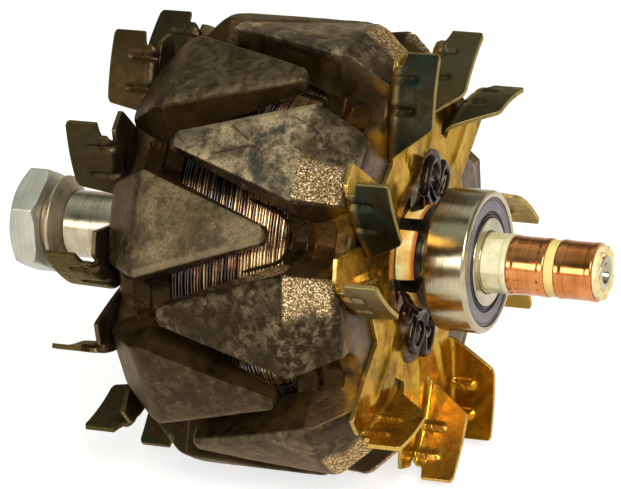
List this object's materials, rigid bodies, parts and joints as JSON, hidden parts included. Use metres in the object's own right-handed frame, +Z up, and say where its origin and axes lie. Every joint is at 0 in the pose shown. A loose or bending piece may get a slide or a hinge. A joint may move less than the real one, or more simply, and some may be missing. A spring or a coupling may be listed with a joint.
{
  "type": "claw-pole alternator rotor",
  "caption": "Claw-pole alternator rotor: a field winding inside interleaved claws, with sheet-metal fans, a sealed rear bearing, copper slip rings and a nut on the drive end.",
  "frame": {"origin": "centre of the rear bearing, on the axis of the shaft", "axes": "+X along the shaft towards the slip rings, +Z up as the rotor lies on its claws, -Y towards the viewer"},
  "size_m": [0.1544, 0.112, 0.112],
  "materials": {
    "shaft_steel": "ground",
    "nut_zinc": "zinc plated",
    "washer_steel": "turned",
    "pole_steel": "forged, varnished and worn",
    "bobbin_plastic": "moulded, soaked in varnish",
    "winding_copper": "enamelled wire under brown varnish",
    "lead_varnish": "varnished",
    "front_fan_sheet": "pressed sheet, dark passivated",
    "rear_fan_sheet": "pressed sheet, yellow passivated",
    "collar_plastic": "moulded",
    "lead_resin": "cured resin",
    "bearing_steel": "ground and polished",
    "seal_rubber": "moulded",
    "cream_moulding": "moulded",
    "slip_ring_copper": "turned, polished by the brushes"
  },
  "bodies": {
    "rotor": {"shaft": "shaft_steel", "pulley_nut": "nut_zinc", "nut_washer": "washer_steel", "front_pole_core": "pole_steel", "rear_pole_core": "pole_steel", "coil_bobbin": "bobbin_plastic", "field_winding": "winding_copper", "upper_field_lead": "lead_varnish", "lower_field_lead": "lead_varnish", "front_fan": "front_fan_sheet", "rear_fan": "rear_fan_sheet", "terminal_collar": "collar_plastic", "upper_lead_resin": "lead_resin", "lower_lead_resin": "lead_resin", "bearing_inner_ring": "bearing_steel", "bearing_balls": "bearing_steel", "slip_ring_moulding": "cream_moulding", "inner_slip_ring": "slip_ring_copper", "outer_slip_ring": "slip_ring_copper"},
    "bearing_outer": {"bearing_outer_ring": "bearing_steel", "bearing_rear_seal": "seal_rubber", "bearing_front_seal": "seal_rubber"}
  },
  "joints": [
    {"name": "rear_bearing_spin", "type": "hinge", "parent": "rotor", "child": "bearing_outer", "pos_m": [0, 0, 0], "axis": [1, 0, 0], "continuous": true}
  ]
}
